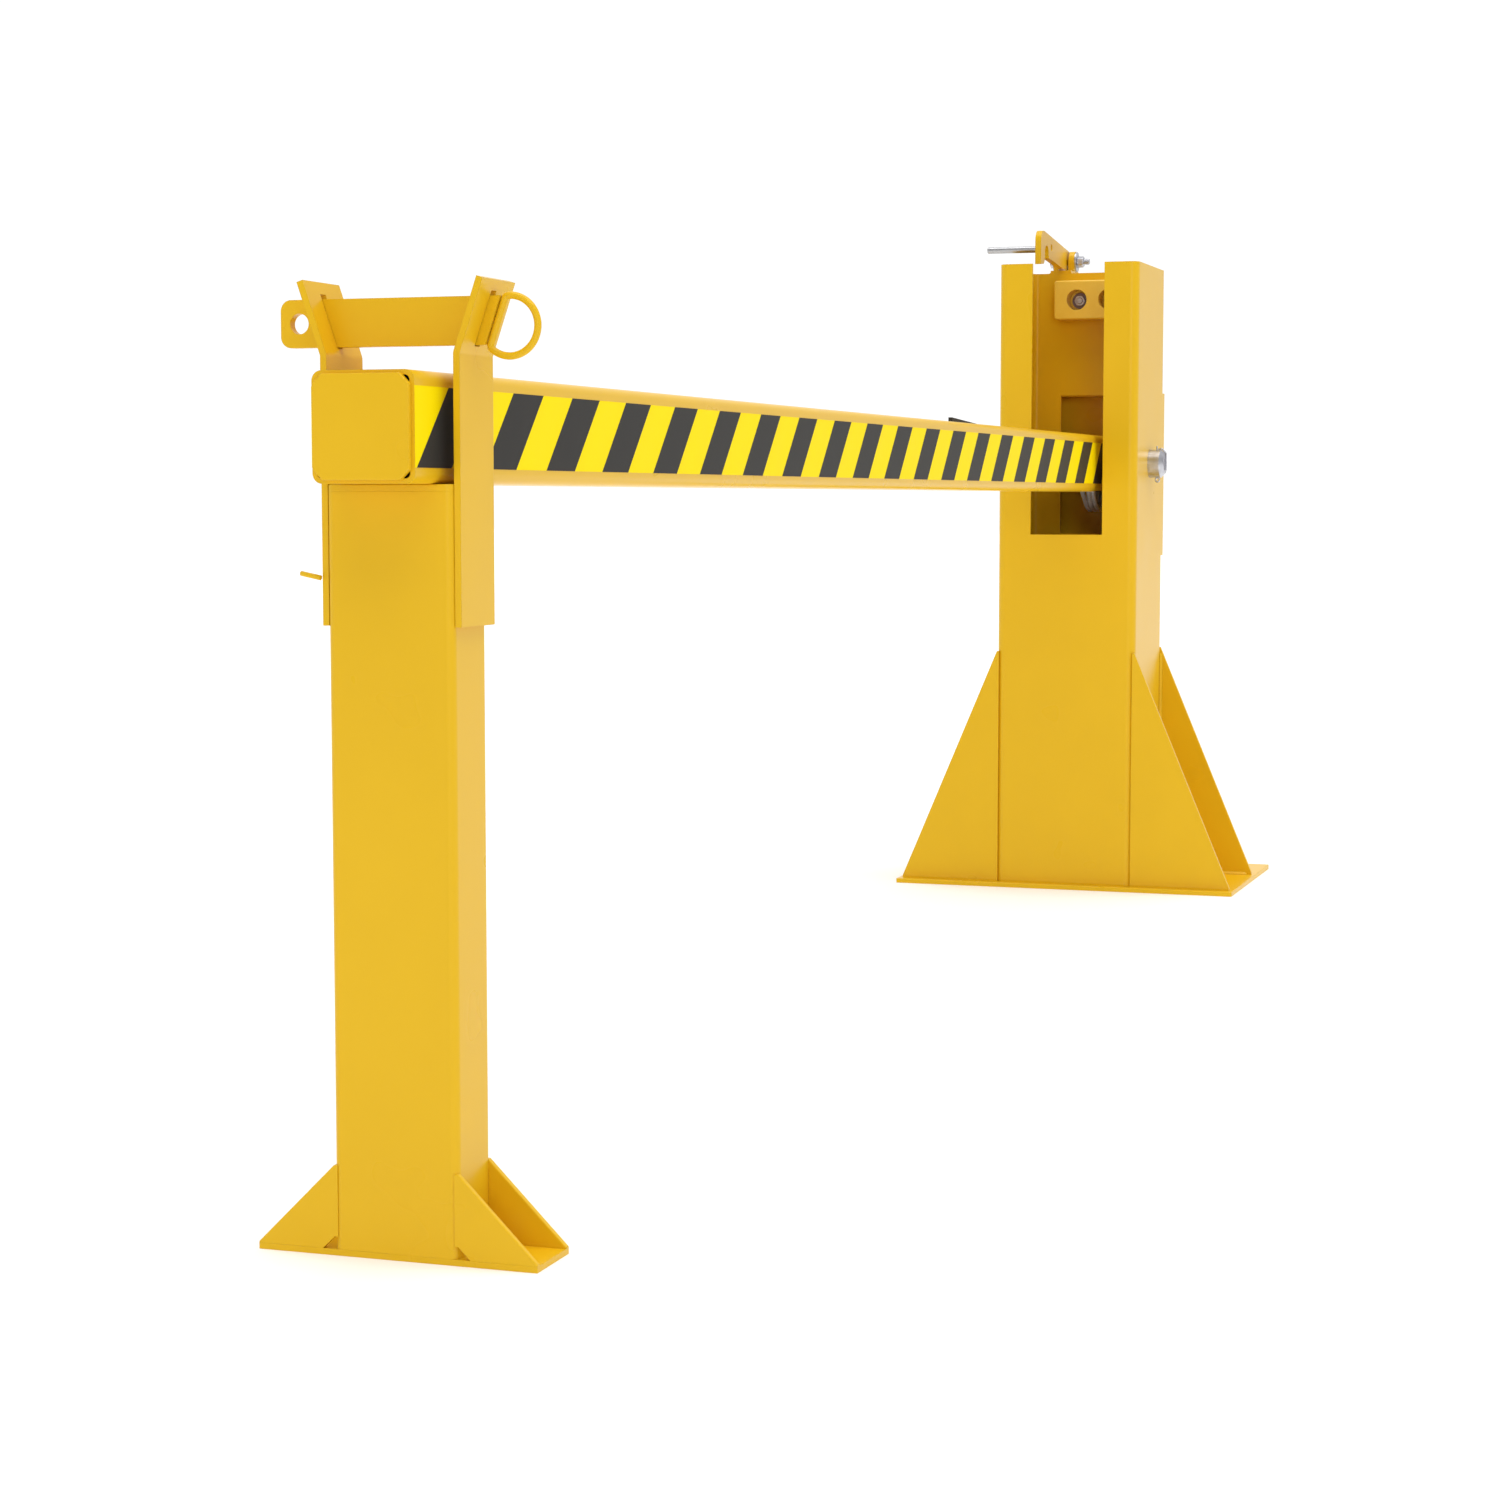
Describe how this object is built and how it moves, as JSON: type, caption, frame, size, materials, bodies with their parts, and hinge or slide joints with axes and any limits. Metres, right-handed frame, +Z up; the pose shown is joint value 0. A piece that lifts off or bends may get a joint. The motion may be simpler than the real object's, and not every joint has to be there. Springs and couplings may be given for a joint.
{
  "type": "swing-up barrier gate",
  "caption": "Yellow floor-mounted gate: a striped square beam swings up on a pinned, sprung hinge post and drops into a latch post closed by a sliding bar.",
  "frame": {"origin": "on the floor, on the vertical axis of the hinge post", "axes": "+X from the latch post to the hinge post along the closed beam, +Z up, -Y the side with the pull ring"},
  "size_m": [3.2744, 0.622, 1.196],
  "materials": {
    "yellow_powder_coat": "gloss powder coat",
    "zinc_plated_steel": "zinc plated, satin",
    "bright_steel": "cold-drawn round bar, satin",
    "spring_steel": "oiled spring wire",
    "yellow_rubber": "painted rubber, satin",
    "black_rubber": "matte",
    "tape_yellow": "printed vinyl tape",
    "tape_black": "printed vinyl tape"
  },
  "bodies": {
    "posts": {"hinge_post": "yellow_powder_coat", "hinge_base_plate": "yellow_powder_coat", "hinge_gussets": "yellow_powder_coat", "rear_cover_box": "yellow_powder_coat", "bumper_block": "yellow_rubber", "bumper_bolts": "zinc_plated_steel", "bumper_washers": "zinc_plated_steel", "bumper_nuts": "zinc_plated_steel", "pivot_pin": "zinc_plated_steel", "pin_cotters": "zinc_plated_steel", "spacer_sleeves": "yellow_powder_coat", "hook_bracket": "yellow_powder_coat", "hook_bolt": "zinc_plated_steel", "hook_nut": "zinc_plated_steel", "hook_washers": "zinc_plated_steel", "latch_post": "yellow_powder_coat", "latch_post_cap": "yellow_powder_coat", "latch_base_plate": "yellow_powder_coat", "latch_gussets": "yellow_powder_coat", "guide_plate_near": "yellow_powder_coat", "guide_plate_far": "yellow_powder_coat", "storage_peg": "yellow_powder_coat"},
    "beam": {"beam_tube": "yellow_powder_coat", "beam_end_cap": "yellow_powder_coat", "beam_tail_cap": "yellow_powder_coat", "pivot_hubs": "yellow_powder_coat", "hazard_tape_near": "tape_yellow", "hazard_tape_far": "tape_yellow", "tape_stripes_near": "tape_black", "tape_stripes_far": "tape_black", "rubber_wedge": "black_rubber", "hold_open_stud": "yellow_powder_coat", "balance_spring": "spring_steel"},
    "latch_bar": {"latch_bar": "yellow_powder_coat", "pull_ring": "yellow_powder_coat"},
    "hook": {"hold_open_hook": "yellow_powder_coat", "hook_handle": "bright_steel"}
  },
  "joints": [
    {"name": "beam_swing", "type": "hinge", "parent": "posts", "child": "beam", "pos_m": [0, 0, 0.772], "axis": [0, 1, 0], "range_deg": [0, 94.4], "stiffness_Nm_per_rad": 41.5, "springref_deg": 68.75},
    {"name": "latch_bar_slide", "type": "slide", "parent": "posts", "child": "latch_bar", "axis": [0, -1, 0], "range_m": [0, 0.18]},
    {"name": "hook_lift", "type": "hinge", "parent": "posts", "child": "hook", "pos_m": [0.172, 0.0715, 1.1545], "axis": [0, 1, 0], "range_deg": [0, 80]}
  ]
}
